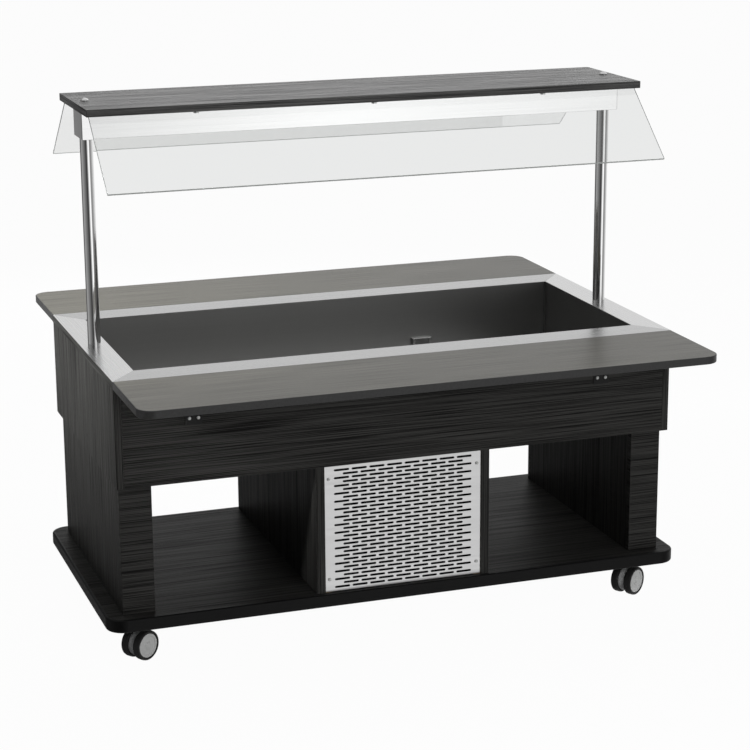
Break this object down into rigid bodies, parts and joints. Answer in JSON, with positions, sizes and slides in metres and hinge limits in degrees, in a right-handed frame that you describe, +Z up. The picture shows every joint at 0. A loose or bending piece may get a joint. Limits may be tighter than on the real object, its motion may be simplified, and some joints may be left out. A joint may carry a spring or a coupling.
{
  "type": "refrigerated salad counter",
  "caption": "Buffet counter with a chilled steel well, fold-down tray flaps, a lit glass sneeze guard on posts, and a cooling unit behind slotted grilles, on swivel casters.",
  "frame": {"origin": "on the floor under the middle of the counter", "axes": "+Z up, +X along the counter's length, -Y towards the guests, +Y towards the staff side"},
  "size_m": [1.509, 1.278, 1.331],
  "materials": {
    "board_dark": "satin",
    "board_raw": "matte",
    "edging_black": "matte",
    "steel_brushed": "satin",
    "steel_polished": "polished",
    "steel_zinc": "satin",
    "glass_clear": "gloss",
    "caster_grey": "matte",
    "tyre_black": "matte",
    "bracket_black": "satin",
    "foam_cream": "matte",
    "copper": "satin",
    "brass_fitting": "satin",
    "lever_red": "satin",
    "compressor_black": "satin",
    "condenser_alu": "satin",
    "shroud_black": "matte",
    "fan_grey": "matte",
    "switch_black": "gloss",
    "knob_black": "matte",
    "lamp_opal": "satin"
  },
  "bodies": {
    "counter": {"base_board": "board_dark", "left_column": "board_dark", "right_column": "board_dark", "left_partition": "board_dark", "right_partition": "board_dark", "tub_left_panel": "board_dark", "tub_right_panel": "board_dark", "tub_front_panel": "board_dark", "tub_rear_panel": "board_dark", "worktop_board": "board_dark", "canopy_shelf": "board_dark", "tub_floor": "board_raw", "grille_battens": "board_raw", "base_edging": "edging_black", "rim_long_strips": "steel_brushed", "rim_end_strips": "steel_brushed", "well_liner": "steel_brushed", "sensor_cover": "steel_brushed", "front_grille": "steel_brushed", "rear_grille": "steel_brushed", "control_panel": "steel_brushed", "left_post": "steel_polished", "right_post": "steel_polished", "canopy_beam": "steel_polished", "tie_rods": "steel_polished", "caster_plates": "steel_zinc", "panel_screws": "steel_zinc", "glass_screws": "steel_zinc", "flap_pivot_pins": "steel_zinc", "front_glass": "glass_clear", "rear_glass": "glass_clear", "flap_brackets": "bracket_black", "insulation": "foam_cream", "evaporator_coil": "copper", "drain_fitting": "brass_fitting", "compressor": "compressor_black", "condenser": "condenser_alu", "fan_shroud": "shroud_black", "lamp": "lamp_opal"},
    "front_flap": {"front_flap": "board_dark", "front_flap_arms": "bracket_black"},
    "rear_flap": {"rear_flap": "board_dark", "rear_flap_arms": "bracket_black"},
    "fan_rotor": {"fan_rotor": "fan_grey"},
    "main_switch": {"main_switch": "switch_black"},
    "lamp_switch": {"lamp_switch": "switch_black"},
    "thermostat_knob": {"thermostat_knob": "knob_black"},
    "drain_lever": {"drain_lever": "lever_red"},
    "caster_fl": {"caster_body_fl": "caster_grey"},
    "wheel_fl_outer": {"wheel_fl_outer": "tyre_black"},
    "wheel_fl_inner": {"wheel_fl_inner": "tyre_black"},
    "caster_fr": {"caster_body_fr": "caster_grey"},
    "wheel_fr_outer": {"wheel_fr_outer": "tyre_black"},
    "wheel_fr_inner": {"wheel_fr_inner": "tyre_black"},
    "caster_rl": {"caster_body_rl": "caster_grey"},
    "wheel_rl_outer": {"wheel_rl_outer": "tyre_black"},
    "wheel_rl_inner": {"wheel_rl_inner": "tyre_black"},
    "caster_rr": {"caster_body_rr": "caster_grey"},
    "wheel_rr_outer": {"wheel_rr_outer": "tyre_black"},
    "wheel_rr_inner": {"wheel_rr_inner": "tyre_black"}
  },
  "joints": [
    {"name": "front_flap_fold", "type": "hinge", "parent": "counter", "child": "front_flap", "pos_m": [0, -0.38002, 0.684], "axis": [1, 0, 0], "range_deg": [0, 90]},
    {"name": "rear_flap_fold", "type": "hinge", "parent": "counter", "child": "rear_flap", "pos_m": [0, 0.38002, 0.684], "axis": [-1, 0, 0], "range_deg": [0, 90]},
    {"name": "fan_spin", "type": "hinge", "parent": "counter", "child": "fan_rotor", "pos_m": [0, -0.26, 0.249], "axis": [0, 1, 0], "continuous": true},
    {"name": "main_switch_rock", "type": "hinge", "parent": "counter", "child": "main_switch", "pos_m": [-0.117, 0.358, 0.397], "axis": [1, 0, 0], "range_deg": [0, 18]},
    {"name": "lamp_switch_rock", "type": "hinge", "parent": "counter", "child": "lamp_switch", "pos_m": [-0.057, 0.358, 0.397], "axis": [1, 0, 0], "range_deg": [0, 18]},
    {"name": "thermostat_turn", "type": "hinge", "parent": "counter", "child": "thermostat_knob", "pos_m": [0.077, 0.358, 0.397], "axis": [0, -1, 0], "range_deg": [0, 270]},
    {"name": "drain_lever_turn", "type": "hinge", "parent": "counter", "child": "drain_lever", "pos_m": [0, 0.024, 0.386], "axis": [0, -1, 0], "range_deg": [0, 90]},
    {"name": "caster_fl_swivel", "type": "hinge", "parent": "counter", "child": "caster_fl", "pos_m": [-0.655, -0.305, 0.08], "axis": [0, 0, 1], "continuous": true},
    {"name": "wheel_fl_outer_roll", "type": "hinge", "parent": "caster_fl", "child": "wheel_fl_outer", "pos_m": [-0.66842, -0.31371, 0.0375], "axis": [-0.5446, 0.8387, 0], "continuous": true},
    {"name": "wheel_fl_inner_roll", "type": "hinge", "parent": "caster_fl", "child": "wheel_fl_inner", "pos_m": [-0.66842, -0.31371, 0.0375], "axis": [-0.5446, 0.8387, 0], "continuous": true},
    {"name": "caster_fr_swivel", "type": "hinge", "parent": "counter", "child": "caster_fr", "pos_m": [0.655, -0.305, 0.08], "axis": [0, 0, 1], "continuous": true},
    {"name": "wheel_fr_outer_roll", "type": "hinge", "parent": "caster_fr", "child": "wheel_fr_outer", "pos_m": [0.64158, -0.31371, 0.0375], "axis": [-0.5446, 0.8387, 0], "continuous": true},
    {"name": "wheel_fr_inner_roll", "type": "hinge", "parent": "caster_fr", "child": "wheel_fr_inner", "pos_m": [0.64158, -0.31371, 0.0375], "axis": [-0.5446, 0.8387, 0], "continuous": true},
    {"name": "caster_rl_swivel", "type": "hinge", "parent": "counter", "child": "caster_rl", "pos_m": [-0.655, 0.305, 0.08], "axis": [0, 0, 1], "continuous": true},
    {"name": "wheel_rl_outer_roll", "type": "hinge", "parent": "caster_rl", "child": "wheel_rl_outer", "pos_m": [-0.66842, 0.29629, 0.0375], "axis": [-0.5446, 0.8387, 0], "continuous": true},
    {"name": "wheel_rl_inner_roll", "type": "hinge", "parent": "caster_rl", "child": "wheel_rl_inner", "pos_m": [-0.66842, 0.29629, 0.0375], "axis": [-0.5446, 0.8387, 0], "continuous": true},
    {"name": "caster_rr_swivel", "type": "hinge", "parent": "counter", "child": "caster_rr", "pos_m": [0.655, 0.305, 0.08], "axis": [0, 0, 1], "continuous": true},
    {"name": "wheel_rr_outer_roll", "type": "hinge", "parent": "caster_rr", "child": "wheel_rr_outer", "pos_m": [0.64158, 0.29629, 0.0375], "axis": [-0.5446, 0.8387, 0], "continuous": true},
    {"name": "wheel_rr_inner_roll", "type": "hinge", "parent": "caster_rr", "child": "wheel_rr_inner", "pos_m": [0.64158, 0.29629, 0.0375], "axis": [-0.5446, 0.8387, 0], "continuous": true}
  ]
}
